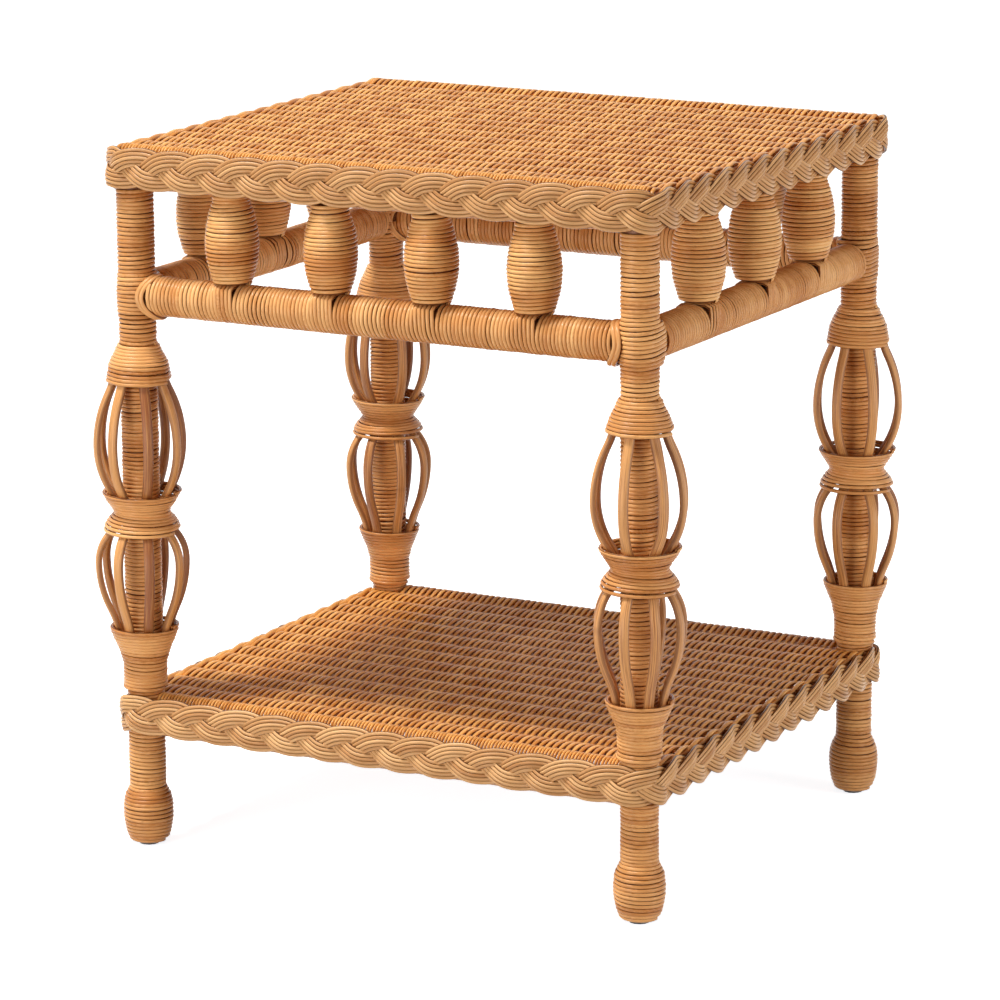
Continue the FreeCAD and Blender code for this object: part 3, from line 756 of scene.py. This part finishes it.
STRANDS = 3
STRAND_CANES = 5
CRESTS = 18
CORNER = 19.0
HALF_DEEP = 3.2
PROUD, CROWN = 2.45, 0.026
REAR_LOWER, RIGHT_LOWER = 4.9, 1.3
plaited = cane_stuff("plait_cane", pale=(248, 200, 141), deep=(180, 118, 60), speck_and_shade=(66, 29, 8), dark=0.32)


def round_edge(half_x, half_y):
    """A rounded oblong: its length round, and a function that gives places and outward
    directions for distances along it from the left end of the front."""
    flat_x, flat_y = half_x - CORNER, half_y - CORNER
    stretches = [2 * flat_x, CORNER * math.pi / 2, 2 * flat_y, CORNER * math.pi / 2] * 2
    marks = np.concatenate(([0], np.cumsum(stretches)))
    # A straight stretch has its start and direction, and a corner its centre.
    parts = [(-flat_x, -half_y, 1, 0), (flat_x, -flat_y), (half_x, -flat_y, 0, 1), (flat_x, flat_y),
             (flat_x, half_y, -1, 0), (-flat_x, flat_y), (-half_x, flat_y, 0, -1), (-flat_x, -flat_y)]

    def place(reach):
        reach = np.mod(reach, marks[-1])
        spot = np.zeros((len(reach), 2))
        out = np.zeros((len(reach), 2))
        for k, part in enumerate(parts):
            here = (reach >= marks[k]) & (reach < marks[k + 1])
            gone = reach[here] - marks[k]
            if len(part) == 4:
                spot[here] = np.array(part[:2]) + gone[:, None] * np.array(part[2:])
                out[here] = (part[3], -part[2])
            else:
                angle = gone / CORNER + (k // 2 - 1) * math.pi / 2
                out[here] = np.stack([np.cos(angle), np.sin(angle)], 1)
                spot[here] = np.array(part) + CORNER * out[here]
        return spot, out

    return marks[-1], place


def plait(node, middle, swing, space, crest):
    """Runs of canes round the middle of the node's band, on edge. swing is how far a strand's
    middle goes up and down, and crest the place of one strand's upper bend along the front."""
    half_x, half_y = [round(1000 * reach, 2) - HALF_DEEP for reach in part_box(node)[1][:2]]
    length, place = round_edge(half_x, half_y)
    reach = np.linspace(0, length, 720, endpoint=False)
    rate = 2 * math.pi * CRESTS / length
    shift = crest + half_x - CORNER - math.pi / 2 / rate
    runs = []
    for strand in range(STRANDS):
        phase = rate * (reach - shift) + strand * 2 * math.pi / STRANDS
        wander = 0.25 * np.sin(phase / CRESTS * 5 + 6.3 * dice.random())
        lift = swing * (np.sin(phase) + 0.05 * np.sin(3 * phase)) / 0.95 + wander
        slope = swing * rate * (np.cos(phase) + 0.15 * np.cos(3 * phase)) / 0.95
        steep = np.sqrt(1 + slope ** 2)
        for cane in range(STRAND_CANES):
            aside = (cane - (STRAND_CANES - 1) / 2) * space
            spot, out = place(reach - aside * slope / steep)
            proud = PROUD * np.sin(2 * phase) - CROWN * aside ** 2
            # The rear and left stretches sit lower than the front, and the right one a little.
            rear_left = np.clip((out[:, 1] - out[:, 0]) * 0.7071 + 0.25, 0, 1)
            right = np.clip(out[:, 0], 0, 1) ** 2
            height = middle + lift + aside / steep - (REAR_LOWER * rear_left + RIGHT_LOWER * right)
            points = np.column_stack([spot + out * proud[:, None], height])
            outs = np.column_stack([out, np.zeros(len(out))])
            runs.append((points, outs, 0.54 * space, 1.55, 0.25 + 0.5 * dice.random(), True))
    return runs


top_runs = plait("top_plait", middle=543.7, swing=9.0, space=2.95, crest=-6.6)
canes("top_plait_canes", top_runs, plaited, ["top_plait"])
shelf_runs = plait("shelf_plait", middle=109.6, swing=8.4, space=2.85, crest=-22.8)
canes("shelf_plait_canes", shelf_runs, plaited, ["shelf_plait"])

# Studio
# A plain white floor that keeps a faint shadow, a soft key light from high on the left, a
# low fill from the front, a weak one from the right and an even sky.

bpy.ops.mesh.primitive_plane_add(size=60)
floor = bpy.context.object
floor.name = "floor"
floor_stuff, shader, wire = new_stuff("floor_paper")


def rays(wire):
    """1 for rays from the camera, a reflection or a clear piece, which see white, and else 0."""
    seen = [wire.node("ShaderNodeLightPath", output=kind)
            for kind in ("Is Camera Ray", "Is Glossy Ray", "Is Transmission Ray")]
    return wire.sum("MAXIMUM", seen[0], wire.sum("MAXIMUM", seen[1], seen[2]))


paper = rays(wire).mix((0.36, 0.31, 0.26, 1.0), (0.95, 0.95, 0.95, 1.0))
wire.tree.links.new(paper.socket, shader.inputs["Base Color"])
glow = rays(wire).mix((0.0, 0.0, 0.0, 1.0), (0.81, 0.84, 0.87, 1.0))
wire.tree.links.new(glow.socket, shader.inputs["Emission Color"])
shader.inputs["Emission Strength"].default_value = 1.0
shader.inputs["Roughness"].default_value = 0.9
shader.inputs["Specular IOR Level"].default_value = 0.0
floor.data.materials.append(floor_stuff)

world = bpy.data.worlds.new("studio")
bpy.context.scene.world = world
world.use_nodes = True
wire = Wire(world.node_tree)
air = rays(wire).mix((0.20, 0.17, 0.14, 1.0), (1.0, 1.0, 1.0, 1.0))
world.node_tree.links.new(air.socket, world.node_tree.nodes["Background"].inputs["Color"])

TABLE_MIDDLE = Vector((0, 0, 0.3))


def softbox(name, place, size, power):
    """A square lamp in a soft cover, turned to the middle of the table. Metres and watts."""
    lamp = bpy.data.lights.new(name, "AREA")
    lamp.size = size
    lamp.energy = power
    piece = bpy.data.objects.new(name, lamp)
    bpy.context.scene.collection.objects.link(piece)
    piece.location = place
    piece.rotation_euler = (Vector(place) - TABLE_MIDDLE).to_track_quat("Z", "Y").to_euler()


softbox("key", (-1.1, -0.95, 3.9), size=0.75, power=150)
softbox("front_fill", (-0.35, -1.75, 0.34), size=0.9, power=15.4)
softbox("right_fill", (1.75, 0.05, 0.4), size=0.8, power=12)

# The camera stands to the right of the front and a little above, far away and a hair askew.
AIM = Vector((-0.0037, -0.0020, 0.2617))
DISTANCE = 3.847
turn, rise, roll = math.radians(28.58), math.radians(13.17), math.radians(-0.33)
lens = bpy.data.cameras.new("photograph")
lens.sensor_width = 36
lens.lens = 174.2
view = bpy.data.objects.new("photograph", lens)
bpy.context.scene.collection.objects.link(view)
back = Vector((math.sin(turn) * math.cos(rise), -math.cos(turn) * math.cos(rise), math.sin(rise)))
right = Vector((math.cos(turn), math.sin(turn), 0))
upward = back.cross(right)
tilted = right * math.cos(roll) + upward * math.sin(roll)
steep = upward * math.cos(roll) - right * math.sin(roll)
view.matrix_world = Matrix((tilted, steep, back)).transposed().to_4x4()
view.matrix_world.translation = AIM + back * DISTANCE
bpy.context.scene.camera = view
bpy.context.scene.view_settings.view_transform = "Standard"

bpy.context.view_layer.update()
